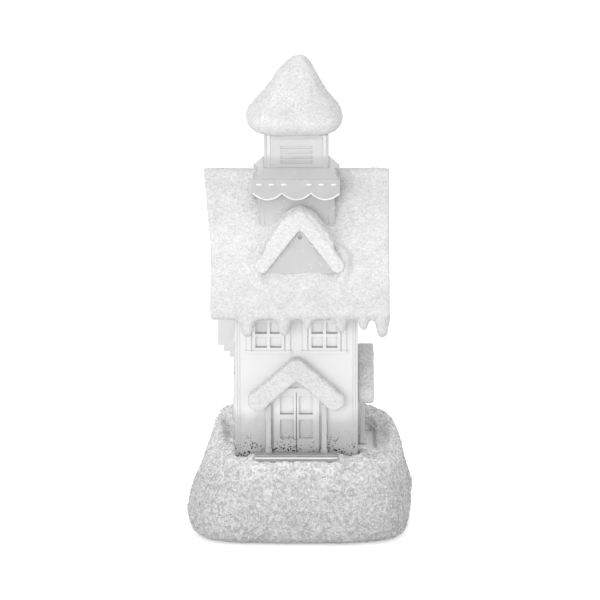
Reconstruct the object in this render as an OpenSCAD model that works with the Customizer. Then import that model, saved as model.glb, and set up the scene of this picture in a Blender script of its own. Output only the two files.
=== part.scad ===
// Light-up winter house: a clear moulded house with a snowy roof and tower, standing in a hollow
// glittered snow mound. Three lamps under its floor run from three AAA cells behind a hinged door.
// Millimetres. +Z is up, the house faces -Y, and the origin is on the table under the mound's middle.

/* [Snow mound] */
// Width of the base plate's land outside its screw bosses, at the left and right
side_land = 1.35; // [1:0.05:8]
// Width of the base plate's land outside its feet, at the front and rear
end_land = 4.55; // [4:0.05:12]
// Wall thickness of the hollow mound
mound_wall = 2.6; // [2:0.1:3]
// How far the snow bank behind the house rises above the snow in front of it
bank_rise = 11.5; // [6:0.5:20]
// Depth of the hollow that the snow leaves along the two side walls
groove_h = 6.5; // [2:0.5:9]
// Sideways lean of the mound from foot to crest
mound_lean = 3.4; // [0:0.2:4]
// Depth of the soft lumps round the mound
mound_lump = 0.8; // [0:0.1:1.5]
// How far the mound's left and right sides are drawn in below their shoulders
side_hollow = 3; // [0:0.1:4]
// How far the mound's shoulder swells out at the rear left
shoulder_out = 5.4; // [0:0.1:6]
// How far the mound's right foot is drawn in
foot_tuck = 2; // [0:0.1:2.4]
// Height of the mound's rim above the table
rim_z = 0.5; // [0.3:0.1:1]

/* [House] */
// Outside width of the house
house_w = 48; // [46:0.5:56]
// Outside depth of the house
house_d = 48; // [46:0.5:52]
// Wall thickness of the house
wall_t = 2.8; // [2.2:0.1:3.4]
// Height of the front wall above its seat in the mound
wall_h = 73.3; // [72:0.1:90]
// Depth that the house is sunk below the snow in front of it
house_sink = 5.5; // [4:0.5:8]
// Offset of the house from the middle of the mound, towards +X
house_x = -1.2; // [-2:0.1:2]
// How far frames, sills and shutters stand out from the walls
relief = 0.8; // [0.5:0.1:1.2]

/* [Windows and doors] */
// Width of one window pane
pane_w = 4.5; // [3.5:0.1:5]
// Height of one window pane
pane_h = 4.4; // [3.6:0.1:4.6]
// Width of the bars between panes
bar_w = 1.2; // [0.8:0.1:1.5]
// Distance of each upper window from the middle of its wall
window_x = 11; // [10:0.1:12]
// Distance of the upper window sills below the top of the front wall
sill_drop = 24.8; // [22:0.2:26]
// Width of one door leaf
leaf_w = 7.4; // [6.4:0.1:8]
// Height of the doors above their step
door_h = 24; // [20:0.5:26]
// Diameter of the half-round porch posts
post_d = 2.4; // [1.6:0.1:3]
// Distance of each porch post from the middle of its door
post_x = 10.9; // [10.6:0.1:11]

/* [Porches] */
// Half of the span of a porch canopy, under its snow
canopy_half = 12.6; // [12.2:0.1:14]
// Slope of the porch canopies in degrees
canopy_pitch = 41; // [35:1:46]
// Thickness of the snow on the porch canopies
canopy_t = 7.3; // [5:0.1:8]
// How far the canopies stand out from the walls
canopy_d = 6.5; // [5:0.1:9]
// Height of the canopy's inner peak above the step
canopy_rise = 29.6; // [28:0.2:31]
// Width of the clear door steps
step_w = 33.6; // [26:0.2:38]
// How far the steps stand out from the walls
step_d = 7; // [5:0.2:8]
// Height of the steps above the snow in front of the house
step_h = 2.3; // [1:0.1:3]

/* [Roof] */
// Slope of the main roof in degrees
roof_pitch = 56; // [52:1:58]
// Thickness of the snowy roof, square to its slope
roof_t = 5.5; // [4:0.1:7]
// Overhang of the roof past the front and rear walls, along the middle of its thickness
eave_over = 8.5; // [6:0.5:10]
// Overhang past the left wall at the eaves
verge_left = 9.6; // [8:0.2:12]
// Extra overhang past the left wall at the ridge
verge_flare = 3.4; // [0:0.2:5]
// Overhang past the right wall
verge_right = 12.4; // [9:0.2:14]

/* [Dormers] */
// Half of the width of a dormer's clear gable at the roof
dormer_half = 11; // [9:0.2:12]
// Slope of the dormer roofs in degrees
dormer_pitch = 52; // [46:1:55]
// Thickness of the snow on the dormers
dormer_t = 5.4; // [3:0.1:6]
// Offset of the dormers from the middle of the house, towards +X
dormer_x = 1.4; // [0:0.1:2]
// Thickness of the dormer's clear gable
gable_t = 2.4; // [1.6:0.1:3]
// How far the dormer's snow stands out in front of its gable
dormer_lip = 3; // [1.5:0.1:4]

/* [Tower] */
// Width of the tower's lower stage
tower_w = 30; // [28:0.5:32]
// Wall thickness of the tower's lower stage
tower_wall = 2.6; // [2:0.1:3.2]
// Overhang of the skirt roof past the tower's faces
skirt_over = 2; // [1.8:0.1:3]
// Height of the skirt roof's slope
skirt_h = 2.4; // [2.4:0.2:6]
// How far the skirt roof's eave hangs below the top of the tower's lower stage
skirt_drop = 2; // [1:0.1:2.4]
// Height of the fascia under the skirt roof, above its scallops
fascia_h = 5.4; // [4:0.2:7]
// Drop of the scallops below the fascia
scallop_h = 2.6; // [1.5:0.1:3]
// Width of the belfry
belfry_w = 25; // [23:0.2:26]
// Wall thickness of the belfry
belfry_wall = 2.4; // [2:0.1:3]
// Height of the belfry
belfry_h = 12.8; // [10.6:0.2:18]
// Width of the snow cap on the belfry
cap_w = 38.4; // [38:0.2:44]
// Height of the snow cap
cap_h = 30; // [24:0.2:40]
// Sideways lean of the cap's tip
cap_lean = 2.2; // [0:0.2:4]
// Offset of the cap's bulge from the middle of the belfry, towards -X
cap_off = 0.8; // [0:0.1:1.5]

/* [Oriel] */
// How far the side oriel stands out from the left wall
oriel_d = 7; // [6:0.2:8]
// Width of the oriel
oriel_w = 16; // [14:0.5:20]
// Height of the oriel above its corbels
oriel_h = 18; // [16:0.5:22]
// Distance of the oriel's top below the top of the front wall
oriel_drop = 8.2; // [7:0.2:14]
// Height of each corbel step under the oriel
corbel_h = 2.4; // [1.6:0.1:3]
// Thickness of the snow at the oriel's outer edge
oriel_snow_t = 3.2; // [2:0.1:5]
// Rise of the oriel's snow towards the wall
oriel_snow_rise = 2.8; // [0:0.1:5]

/* [Battery bay] */
// Diameter of one cell
cell_d = 10.5; // [10:0.1:11]
// Length of one cell with its terminal
cell_l = 44.5; // [43.5:0.1:45]
// Number of cells side by side
cell_count = 3; // [3:1:3]
// Space between the cells' sides
cell_gap = 0.5; // [0.3:0.1:0.8]
// Working length of a contact spring
spring_l = 4.6; // [4.2:0.1:6]
// Wire diameter of the contact springs
spring_wire = 0.6; // [0.5:0.05:0.7]
// Thickness of the contact plates
contact_t = 0.5; // [0.4:0.05:0.6]
// Wall thickness of the battery bay
bay_wall = 1.4; // [1.2:0.1:2]

/* [Base plate] */
// Thickness of the base plate
plate_t = 2; // [1.8:0.1:2.6]
// Recess of the base plate inside the mound's rim
plate_recess = 0.4; // [0.3:0.1:0.6]
// Thickness of the battery door
door_t = 1.6; // [1.4:0.1:1.8]
// Radius of the battery door's hinge pins
pin_r = 0.8; // [0.7:0.05:0.8]
// Width of the door's latch finger
latch_w = 13; // [9:0.5:16]
// Travel of the power switch
switch_travel = 3; // [2:0.2:4]
// Diameter of the base screws' shanks
screw_d = 2.4; // [2:0.1:2.6]
// Length of the base screws under their heads
screw_l = 11; // [8:0.5:14]
// Diameter of the rubber feet
foot_d = 7; // [5:0.2:8]

/* [Lamps] */
// Diameter of one lamp
lamp_d = 5; // [3:0.5:5]
// Distance between neighbouring lamps
lamp_pitch = 8; // [7.5:0.5:9]
// Thickness of the circuit board
board_t = 1.2; // [0.8:0.1:1.6]
// Width of the circuit board
board_w = 32; // [31:0.5:38]
// Depth of the circuit board
board_d = 16; // [15:0.5:22]
// Thickness of the floor that closes the house from below
deck_t = 2; // [1.6:0.1:3]
// Diameter of the insulated wires
wire_d = 1.3; // [1:0.1:1.4]

/* [Hidden] */
$fn = 48;

// Clearances
glue = 0.05;        // between glued faces
fit = 0.3;          // between loose pieces
seat_fit = 0.25;    // round the foot of the house
pin_fit = 0.06;     // round the hinge pins
thread_fit = 0.02;  // round screw shanks

// Heights from the table up to the house seat
plate_z = rim_z + plate_recess;
plate_top = plate_z + plate_t;
door_z = plate_z + fit;
door_top = door_z + door_t;
hinge_r = door_t / 2 + 0.4;
hinge_z = max(plate_z + pin_r + pin_fit + 0.6, door_z + hinge_r);
cell_z = max(door_top, plate_top, hinge_z + hinge_r) + fit + cell_d / 2;
bay_ceiling = cell_z + cell_d / 2 + fit;
bay_top = bay_ceiling + bay_wall;
head_h = 1.2;                                  // height of every screw head
head_lip = 1.3;                                // how far the base screws' heads stand out round their shanks
board_gap = max(head_h, wire_d) + 1.3;         // room under the board for heads and wires
board_z = bay_top + board_gap;
board_top = board_z + board_t;
standoff_h = 1.8;
deck_z = board_top + standoff_h;
deck_top = deck_z + deck_t;
collar_h = 4;
seat_z = deck_top + collar_h;
front_h = seat_z + house_sink;
step_top = front_h + step_h;
step_sink = 2.5;                               // depth that the steps are sunk into the snow
step_foot = front_h - step_sink;

// House and roof
half_w = house_w / 2;
half_d = house_d / 2;
inner_w = house_w - 2 * wall_t;
inner_d = house_d - 2 * wall_t;
wall_top = seat_z + wall_h;
roof_in = wall_top + half_d * tan(roof_pitch);             // inner peak of the roof
roof_mid = roof_in + roof_t / 2 / cos(roof_pitch);         // peak of its middle plane
roof_out = roof_in + roof_t / cos(roof_pitch);             // peak of its outer planes, if they met
snow_roll = 1.08;                                          // swelling of snow along ridges and eaves
ridge_z = roof_mid + snow_roll * roof_t / 2;
roof_half = half_d + eave_over - roof_t / 2 * sin(roof_pitch);
verge_lo = house_x - half_w - verge_left;
verge_ridge = verge_lo - verge_flare;
verge_hi = house_x + half_w + verge_right;
function roof_out_z(y) = roof_out - abs(y) * tan(roof_pitch);
function roof_mid_z(y) = roof_mid - abs(y) * tan(roof_pitch);

// Tower
skirt_w = tower_w + 2 * skirt_over;
skirt_z = ridge_z;
skirt_top = skirt_z + skirt_h;
cap_z = skirt_top + belfry_h;
well_w = tower_w - 2 * tower_wall;
fascia_t = skirt_over - fit / 2;
tower_lip = 1.1;          // step in from the tower's faces to the lip that its skirt sits over
tower_lip_h = 1.2;

// Battery bay, about the middle of the base plate
cell_pitch = cell_d + cell_gap;
bay_l = cell_l + spring_l + 2 * contact_t;
bay_w = cell_count * cell_pitch + fit;
hinge_x = -bay_l / 2 + hinge_r + fit;
latch_l = 3.8;
contact_w = 8;
contact_foot = hinge_z + hinge_r + fit;
tab_w = 3;
tab_top = bay_top + 1.9;
boss_r = screw_d / 2 + 1.8;
screw_x = bay_l / 2 + bay_wall + latch_l + boss_r;
screw_y = 12;
foot_x = 23;
foot_y = bay_w / 2 + bay_wall + foot_d / 2 + 1;

// Mound
mound_sides = 40;
mound_square = 3.8;       // 2 is an ellipse, and higher is squarer
rim_inset = 4.5;
plate_a = screw_x + boss_r + side_land;                    // half width of the base plate
plate_b = foot_y + foot_d / 2 + end_land;                  // half depth of the base plate
mound_w = 2 * (plate_a + fit + mound_wall + rim_inset);
mound_d = 2 * (plate_b + fit + mound_wall + rim_inset);
// Share of the crest's height, inset from the widest outline, and share of the groove's depth
mound_profile = [
    [0, rim_inset, 0], [0.06, 1.6, 0], [0.2, 0, 0], [0.42, 0.4, 0], [0.65, 2.2, 0], [0.85, 5.2, 0],
    [0.96, 8.4, 0], [1, 11.4, 0], [1, 15, 0.45], [1, 18.5, 1]
];
crest_from = 6;           // profile rows from here on are crest and groove, not side

function power(v, p) = sign(v) * pow(abs(v), p);
function squarish(a, b, t, n) = [a * power(cos(t), 2 / n), b * power(sin(t), 2 / n)];
function crest_z(t) = front_h + bank_rise * pow((1 + sin(t)) / 2, 1.3);
function lump(t, s) = mound_lump * 4 * s * (1 - s) * (0.6 * sin(3 * t + 40) + 0.4 * sin(5 * t + 200));
// Inset of the sides, hollow below the shoulders, swelling out at the rear left one, tucked in at the right foot
function hollow(t, s) = side_hollow * pow(cos(t), 2) * (s > 0.3 ? sin(240 * (s - 0.3)) : 0)
    - shoulder_out * pow(max(0, cos(t - 140)), 6) * pow(s, 8)
    + foot_tuck * pow(max(0, cos(t)), 2) * (s < 0.42 ? sin(180 * s / 0.42) : 0);
function angles(n) = [for (i = [0:n - 1]) 360 * i / n];
// One ring of the mound, drawn in by skin from the snow's surface
function mound_ring(row, skin, shift) = [
    for (t = angles(mound_sides))
    let (s = row[0], inset = row[1] + lump(t, s) + hollow(t, s) + (row[2] > 0 || s == 1 ? 0 : skin))
    let (p = squarish(mound_w / 2 - inset, mound_d / 2 - inset, t, mound_square))
    [
        p.x + shift + mound_lean * s,
        p.y,
        rim_z + s * (crest_z(t) - rim_z) - row[2] * groove_h * pow(cos(t), 2) - (s > 0.2 ? skin * s * 1.3 : 0)
    ]
];
mound_xs = [for (row = mound_profile) for (p = mound_ring(row, 0, 0)) p.x];
mound_x = -(max(mound_xs) + min(mound_xs)) / 2;            // centres the mound on the origin

// Switch, behind the bay
switch_y = bay_w / 2 + bay_wall + 6.2;
switch_l = 11;
switch_w = 5.4;
switch_h = 5;
switch_wall = 0.6;
knob_l = 3.2;
knob_w = 2.2;
slot_l = knob_l + switch_travel + fit;
slot_w = knob_w + fit;
well_h = plate_t / 2;                                      // depth of the finger well under the switch
pin_z = plate_top + switch_h;
pin_h = 2.4;

// Board, lamps and deck
board_screw_x = board_w / 2 - 2.6;
deck_half_w = half_w + seat_fit + 1.4;
deck_half_d = half_d + seat_fit + 1.4;
deck_screw_x = half_w - wall_t / 2;
deck_screw_y = 12;
small_r = 0.85;                                            // shank radius of the small screws
small_head = 4 * small_r;                                  // head diameter of the small screws
small_bite = 3 * small_r;                                  // length of the small screws' shanks that bites

// Shapes shared by several pieces

// Closed skin through a list of rings, capped at both ends
module skin(rings) {
    n = len(rings[0]);
    m = len(rings);
    middle = function (ring) [for (k = [0:2]) ([for (p = ring) 1] * [for (p = ring) p[k]]) / n];
    points = concat([for (ring = rings) each ring], [middle(rings[0]), middle(rings[m - 1])]);
    sides = [
        for (k = [0:m - 2]) for (i = [0:n - 1])
        let (j = (i + 1) % n, a = k * n + i, b = k * n + j, c = a + n, d = b + n)
        each [[a, c, d], [a, d, b]]
    ];
    first = [for (i = [0:n - 1]) [n * m, i, (i + 1) % n]];
    last = [for (i = [0:n - 1]) [n * m + 1, (m - 1) * n + (i + 1) % n, (m - 1) * n + i]];
    polyhedron(points, concat(sides, first, last), convexity = 8);
}

function unit(v) = v / norm(v);
// Directions square to a route, carried along it without twist
function sides_along(dirs, i, side) =
    let (flat = unit(side - (side * dirs[i]) * dirs[i]))
    i == len(dirs) - 1 ? [flat] : concat([flat], sides_along(dirs, i + 1, flat));
function point_on(route, k, u) =
    let (n = len(route) - 1)
    let (a = route[max(k - 1, 0)], b = route[k], c = route[min(k + 1, n)], d = route[min(k + 2, n)])
    ((2 * b) + (c - a) * u + (2 * a - 5 * b + 4 * c - d) * u * u + (3 * b - a - 3 * c + d) * u * u * u) / 2;
function smoothed(route, steps) = concat(
    [for (k = [0:len(route) - 2]) for (s = [0:steps - 1]) point_on(route, k, s / steps)],
    [route[len(route) - 1]]
);
// Round tube of radius r along the points of a line
module tube(line, r, sides) {
    n = len(line) - 1;
    dirs = [for (i = [0:n]) unit(line[min(i + 1, n)] - line[max(i - 1, 0)])];
    start = abs(dirs[0].z) < 0.8 ? [0, 0, 1] : [1, 0, 0];
    us = sides_along(dirs, 0, start);
    skin([
        for (i = [0:n])
        let (v = cross(dirs[i], us[i]))
        [for (t = angles(sides)) line[i] + r * (cos(t) * us[i] + sin(t) * v)]
    ]);
}

// Flat outline of an inverted V of snow: its inner peak is at the origin, and its ends and peak are round
module snow_vee(half, pitch, t) {
    leg = (half + t / 2 * sin(pitch)) / cos(pitch);
    translate([0, t / 2 / cos(pitch)]) {
        circle(d = t * snow_roll);
        for (s = [0, 1]) mirror([s, 0]) rotate(-pitch) {
            translate([0, -t / 2]) square([leg, t]);
            translate([leg, 0]) circle(d = t * snow_roll);
        }
    }
}

// An outline drawn in X and Z, standing up and running from y0 to y1
module upright(y0, y1) {
    translate([0, y1, 0]) rotate([90, 0, 0]) linear_extrude(y1 - y0) children();
}

// Children are drawn on a wall: X runs along it, Z is up, and its outside is towards -Y
module on_wall(turn) {
    face = turn % 180 == 0 ? half_d : half_w;
    translate([house_x, 0, 0]) rotate([0, 0, turn]) translate([0, -face, 0]) children();
}

// Block on the middle of x, from y0 to y1 and from z0 to z1
module slab(w, y0, y1, z0, z1, x = 0) {
    translate([x - w / 2, y0, z0]) cube([w, y1 - y0, z1 - z0]);
}

// Everything under the roof's outer surface, for cutting what stands on the roof
module under_roof() {
    length = verge_hi - verge_ridge;
    translate([verge_ridge, 0, glue]) rotate([90, 0, 90]) linear_extrude(length) union() {
        translate([0, roof_in]) snow_vee(roof_half, roof_pitch, roof_t);
        polygon([[0, roof_in + 1], [-half_d, wall_top + 1], [-half_d, seat_z], [half_d, seat_z], [half_d, wall_top + 1]]);
    }
}

module screw(head_d, shank_d, length) {
    difference() {
        union() {
            cylinder(d = head_d, h = head_h);
            translate([0, 0, head_h - glue]) cylinder(d = shank_d, h = length + glue);
        }
        for (a = [0, 90]) rotate(a) slab(head_d * 0.6, -0.3, 0.3, -0.1, 0.6);
    }
}

module at_corners(x, y) {
    for (i = [-1, 1]) for (j = [-1, 1]) translate([i * x, j * y, 0]) children();
}

module on_plate() {
    translate([mound_x, 0, 0]) children();
}

// Snow mound

module mound_solid(inset) {
    skin([for (row = mound_profile) mound_ring(row, inset, mound_x)]);
}

module mound_shell() {
    outside = [for (row = mound_profile) mound_ring(row, 0, mound_x)];
    inside = [for (k = [2:len(mound_profile) - 1]) mound_ring(mound_profile[k], mound_wall, mound_x)];
    foot = [for (z = [rim_z, plate_top + 1]) [
        for (t = angles(mound_sides))
        let (p = squarish(plate_a + fit, plate_b + fit, t, mound_square)) [p.x + mound_x, p.y, z]
    ]];
    cavity = concat(foot, inside);
    skin(concat([for (k = [len(cavity) - 1:-1:0]) cavity[k]], outside));
}

module snow_base() {
    top = front_h + bank_rise + 10;
    color("gainsboro") difference() {
        union() {
            mound_shell();
            intersection() {
                mound_solid(mound_wall / 2);
                union() {
                    translate([house_x, 0, 0])
                        slab(2 * deck_half_w + 1.6, -deck_half_d - 0.8, deck_half_d + 0.8, deck_top, top);
                    on_plate() at_corners(screw_x, screw_y)
                        translate([0, 0, plate_top]) cylinder(r = boss_r, h = top);
                    for (turn = [0, 90]) on_wall(turn)
                        slab(step_w + 2 * mound_wall, -step_d - mound_wall, 1, step_foot - mound_wall, top);
                }
            }
        }
        translate([house_x, 0, 0]) {
            slab(inner_w, -inner_d / 2, inner_d / 2, plate_top, top);
            slab(house_w + 2 * seat_fit, -half_d - seat_fit, half_d + seat_fit, seat_z, top);
            at_corners(deck_screw_x, deck_screw_y)
                translate([0, 0, deck_top - 1]) cylinder(r = small_r + thread_fit, h = 1 + collar_h - 0.8);
        }
        for (turn = [0, 90]) on_wall(turn) slab(step_w + fit, -step_d - fit / 2, 1, step_foot, top);
        on_plate() at_corners(screw_x, screw_y)
            translate([0, 0, plate_top - 1]) cylinder(d = screw_d + 2 * thread_fit, h = 1 + screw_l);
    }
}

// Clear house

// Outline of a window of panes: its frame, or its panes to be sunk into the wall
module window_frame(columns, rows) {
    w = columns * (pane_w + bar_w) + bar_w;
    h = rows * (pane_h + bar_w) + bar_w;
    slab(w, -relief, 1, 0, h);
    for (s = [-1, 1]) slab(1.8, -relief, 1, 0, h, s * (w / 2 + 1.3));
    slab(w + 5.2, -relief - 0.5, 1, -1, 0.05);
}

module window_panes(columns, rows) {
    for (i = [0:columns - 1]) for (k = [0:rows - 1])
        slab(pane_w, -relief - 1, 0.6, bar_w + k * (pane_h + bar_w), bar_w + k * (pane_h + bar_w) + pane_h,
            (i - (columns - 1) / 2) * (pane_w + bar_w));
}

// Door frame and porch posts, ending just under the canopy
module door_frame() {
    peak = canopy_rise - fit;
    eave = peak - canopy_half * tan(canopy_pitch);
    under = [[-canopy_half, 0], [canopy_half, 0], [canopy_half, eave], [0, peak], [-canopy_half, eave]];
    intersection() {
        slab(2 * leaf_w + 3.2, -relief, 1, 0, door_h + 1.6);
        upright(-relief - 1, 2) polygon(under);
    }
    for (s = [-1, 1]) translate([s * post_x, 0, 0])
        cylinder(d = post_d, h = peak - (post_x + post_d / 2) * tan(canopy_pitch));
}

module door_panels() {
    panel_w = leaf_w - 2;
    for (s = [-1, 1]) {
        slab(panel_w, -relief - 1, 0.6, door_h - 9, door_h - 1.6, s * leaf_w / 2);
        slab(panel_w, -relief - 1, 0.3, 5.4, door_h - 11, s * leaf_w / 2);
    }
    slab(0.4, -relief - 1, 0.3, -0.1, door_h, 0);
}

module wall_details(cut) {
    upper = wall_top - sill_drop;
    lower = front_h + bank_rise + 3;
    attic = wall_top + 4;
    for (turn = [0, 180]) on_wall(turn) for (s = [-1, 1]) translate([s * window_x, 0, upper])
        if (cut) window_panes(2, 3); else window_frame(2, 3);
    for (turn = [0, 90]) on_wall(turn) translate([0, 0, step_top + glue])
        if (cut) door_panels(); else door_frame();
    on_wall(180) translate([0, 0, lower])
        if (cut) window_panes(3, 4); else window_frame(3, 4);
    on_wall(270) for (s = [-1, 1]) translate([s * window_x, 0, lower])
        if (cut) window_panes(2, 3); else window_frame(2, 3);
    for (turn = [90, 270]) on_wall(turn) translate([0, 0, attic])
        if (cut) window_panes(2, 2); else window_frame(2, 2);
}

module house_walls() {
    gable = [[-half_d, seat_z], [half_d, seat_z], [half_d, wall_top], [0, roof_in], [-half_d, wall_top]];
    color("white", 0.4) difference() {
        union() {
            translate([house_x - half_w, 0, 0]) rotate([90, 0, 90]) linear_extrude(house_w) polygon(gable);
            wall_details(false);
        }
        translate([house_x, 0, 0]) slab(inner_w, -inner_d / 2, inner_d / 2, seat_z - 1, roof_in + 1);
        wall_details(true);
    }
}

// Snow drip that hangs from an eave, its top at the origin
module drip(r, h) {
    cylinder(r1 = r * 0.7, r2 = r, h = h);
    sphere(r = r * 0.7);
    translate([0, 0, h]) cylinder(r = r, h = r);
}

module roof() {
    low = roof_mid_z(roof_half) - roof_t - 4;
    outline = [
        [verge_lo, low], [verge_hi, low], [verge_hi, roof_out + 1], [verge_ridge, roof_out + 1],
        [verge_lo, roof_mid_z(half_d * 0.7)]
    ];
    eave_y = half_d + eave_over;
    eave_z = roof_mid_z(eave_y);
    // Place along the front eave, length and radius of each drip, from the left
    drips = [[-20.5, 7.8, 3.3], [-6, 7.4, 3.15], [3, 5, 2.4], [16.2, 6.8, 2.7], [25, 5.4, 2.6], [32.3, 8, 3.15]];
    color("whitesmoke") difference() {
        union() {
            intersection() {
                translate([verge_ridge, 0, roof_in]) rotate([90, 0, 90])
                    linear_extrude(verge_hi - verge_ridge) snow_vee(roof_half, roof_pitch, roof_t);
                upright(-2 * eave_y, 2 * eave_y) polygon(outline);
            }
            for (turn = [0, 1]) mirror([0, turn, 0]) for (d = drips)
                translate([d[0], -eave_y, eave_z - d[1]]) drip(d[2], d[1] - d[2]);
        }
        translate([house_x, 0, 0]) slab(well_w, -well_w / 2, well_w / 2, wall_top, ridge_z + 1);
    }
}

// Dormers, modelled at the front and mirrored to the rear

module dormer_gable() {
    foot = roof_out_z(half_d + gable_t);
    peak = roof_out_z(half_d) + dormer_half * tan(dormer_pitch);
    reach = (peak - foot) / tan(dormer_pitch);
    color("lightgray", 0.5) difference() {
        translate([house_x + dormer_x, 0, 0]) upright(-half_d - gable_t, -half_d)
            polygon([[-reach, foot], [reach, foot], [0, peak]]);
        under_roof();
        translate([house_x + dormer_x, -half_d - gable_t - 1, peak - 3]) rotate([-90, 0, 0]) cylinder(r = 0.8, h = 2);
    }
}

module dormer_snow() {
    roll = (snow_roll - 1) * dormer_t / 2;
    peak = roof_out_z(half_d) + dormer_half * tan(dormer_pitch) + glue + roll / cos(dormer_pitch);
    color("whitesmoke") difference() {
        translate([house_x + dormer_x, 0, peak]) upright(-half_d - gable_t - dormer_lip, 0)
            snow_vee(dormer_half + 1.6, dormer_pitch, dormer_t);
        under_roof();
        translate([house_x, 0, 0]) slab(skirt_w + 2 * glue, -tower_w / 2 - glue, 1, seat_z, skirt_top);
    }
}

// Tower

module tower_stage() {
    lip = tower_w / 2 - tower_lip;
    color("lightgray", 0.5) difference() {
        translate([house_x, 0, 0]) {
            slab(tower_w, -tower_w / 2, tower_w / 2, wall_top, skirt_z - skirt_drop - glue);
            slab(2 * lip, -lip, lip, wall_top, skirt_z + tower_lip_h - glue);
        }
        translate([house_x, 0, 0]) slab(well_w, -well_w / 2, well_w / 2, wall_top - 1, skirt_z + skirt_h);
        under_roof();
    }
}

module fascia_outline() {
    lobe = skirt_w / 3;
    lobe_r = (lobe * lobe / 4 + scallop_h * scallop_h) / 2 / scallop_h;
    translate([-skirt_w / 2, -fascia_h]) square([skirt_w, fascia_h]);
    for (k = [-1:1]) intersection() {
        translate([k * lobe, -fascia_h - scallop_h + lobe_r]) circle(r = lobe_r);
        translate([(k - 0.5) * lobe, -fascia_h - scallop_h]) square([lobe, scallop_h + 1]);
    }
}

module tower_skirt() {
    slope = [
        [-skirt_w / 2, -skirt_drop], [skirt_w / 2, -skirt_drop],
        [belfry_w / 2 + 0.6, skirt_h], [-belfry_w / 2 - 0.6, skirt_h]
    ];
    light_w = belfry_w - 2 * belfry_wall;
    socket = tower_w / 2 - tower_lip + fit / 2;
    color("lightgray", 0.5) difference() {
        translate([house_x, 0, skirt_z]) difference() {
            union() {
                intersection() {
                    upright(-skirt_w / 2, skirt_w / 2) polygon(slope);
                    rotate(90) upright(-skirt_w / 2, skirt_w / 2) polygon(slope);
                }
                for (turn = [0:90:270]) rotate(turn) upright(-skirt_w / 2, -skirt_w / 2 + fascia_t)
                    translate([0, 0.5 - skirt_drop]) fascia_outline();
            }
            slab(light_w, -light_w / 2, light_w / 2, -skirt_drop - 1, skirt_h + 1);
            slab(2 * socket, -socket, socket, -skirt_drop - 1, tower_lip_h);
        }
        under_roof();
    }
}

module belfry() {
    half = belfry_w / 2;
    room = half - belfry_wall;
    lip_r = room - 0.4;
    slat = 1.3;
    color("lightgray", 0.5) translate([house_x, 0, skirt_top + glue]) difference() {
        union() {
            slab(belfry_w, -half, half, 0, belfry_h - 2 * glue);
            cylinder(r = lip_r, h = belfry_h + 2);
        }
        slab(2 * room, -room, room, -1, belfry_h - 2);
        cylinder(r = lip_r - 1.2, h = belfry_h + 3);
        for (turn = [0:90:270]) rotate(turn) for (k = [0:3])
            slab(half, -half - 1, -half + 0.6, 1.6 + k * slat * 1.5, 1.6 + k * slat * 1.5 + slat);
    }
}

module tower_cap() {
    sides = 32;
    // Share of the cap's height, and share of its half width
    outside = [
        [0, 0.72], [0.04, 0.86], [0.1, 0.95], [0.18, 1], [0.26, 0.96], [0.34, 0.87], [0.42, 0.77], [0.5, 0.67],
        [0.6, 0.57], [0.72, 0.45], [0.83, 0.34], [0.91, 0.24], [0.97, 0.14], [1, 0.05]
    ];
    hole = belfry_w / 2 - belfry_wall - 0.2;
    inside = [[0, 1], [0.15, 1], [0.4, 0.86], [0.62, 0.5]];
    ring = function (share, r, n, x) [
        for (t = angles(sides)) let (p = squarish(r, r, t, n))
        [p.x + house_x + x, p.y, cap_z + share * cap_h]
    ];
    color("whitesmoke") skin(concat(
        [for (k = [len(inside) - 1:-1:0]) ring(inside[k][0], inside[k][1] * hole, 2, 0)],
        [
            for (row = outside)
            ring(row[0], row[1] * cap_w / 2, 4 - 1.6 * row[0], cap_lean * pow(row[0], 4) - cap_off)
        ]
    ));
}

// Porches

module canopy(turn) {
    color("whitesmoke") on_wall(turn) translate([0, 0, step_top + canopy_rise])
        upright(-canopy_d, -glue) snow_vee(canopy_half, canopy_pitch, canopy_t);
}

module step(turn) {
    color("white", 0.4) on_wall(turn) difference() {
        slab(step_w, -step_d, -glue, step_foot, step_top);
        slab(step_w + 2, -step_d - 1, -step_d / 2, step_top - step_h / 2, step_top + 1);
    }
}

// Oriel on the left wall

module oriel() {
    z = wall_top - oriel_drop - oriel_h;
    color("lightgray", 0.6) on_wall(270) difference() {
        union() {
            slab(oriel_w, -oriel_d, -relief - 0.5 - glue, z, z + oriel_h);
            for (k = [1:2]) slab(oriel_w, -oriel_d * (1 - k * 0.33), -glue, z - k * corbel_h, z - (k - 1) * corbel_h);
            slab(oriel_w, -relief - 0.6, -glue, z, z + oriel_h);
        }
        translate([0, -oriel_d + relief, z + 1]) window_panes(2, 2);
    }
}

module oriel_snow() {
    z = wall_top - oriel_drop + glue;
    lip = oriel_snow_t / 4;
    back = z + oriel_snow_t + oriel_snow_rise;
    color("whitesmoke") on_wall(270) rotate([90, 0, 90]) translate([0, 0, -oriel_w / 2 - lip])
        linear_extrude(oriel_w + 2 * lip)
            union() {
                polygon([[-glue, z], [-glue, back], [-oriel_d, z + oriel_snow_t], [-oriel_d, z]]);
                translate([-oriel_d, z + oriel_snow_t / 2]) circle(d = oriel_snow_t * snow_roll);
            }
}

// Lamps and board under the house

module light_deck() {
    color("white") translate([house_x, 0, 0]) difference() {
        union() {
            slab(2 * deck_half_w, -deck_half_d, deck_half_d, deck_z, deck_top - glue);
            for (s = [-1, 1]) translate([s * board_screw_x, 0, board_top + glue])
                cylinder(r = small_r + 1.3, h = standoff_h);
        }
        for (k = [-1:1]) translate([k * lamp_pitch, 0, deck_z - 1]) cylinder(d = lamp_d + fit, h = deck_t + 2);
        for (s = [-1, 1]) translate([s * board_screw_x, 0, board_top - 1])
            cylinder(r = small_r + thread_fit, h = 1 + standoff_h + deck_t / 2);
        at_corners(deck_screw_x, deck_screw_y) translate([0, 0, deck_z - 1]) cylinder(r = small_r + fit, h = deck_t + 2);
    }
}

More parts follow.
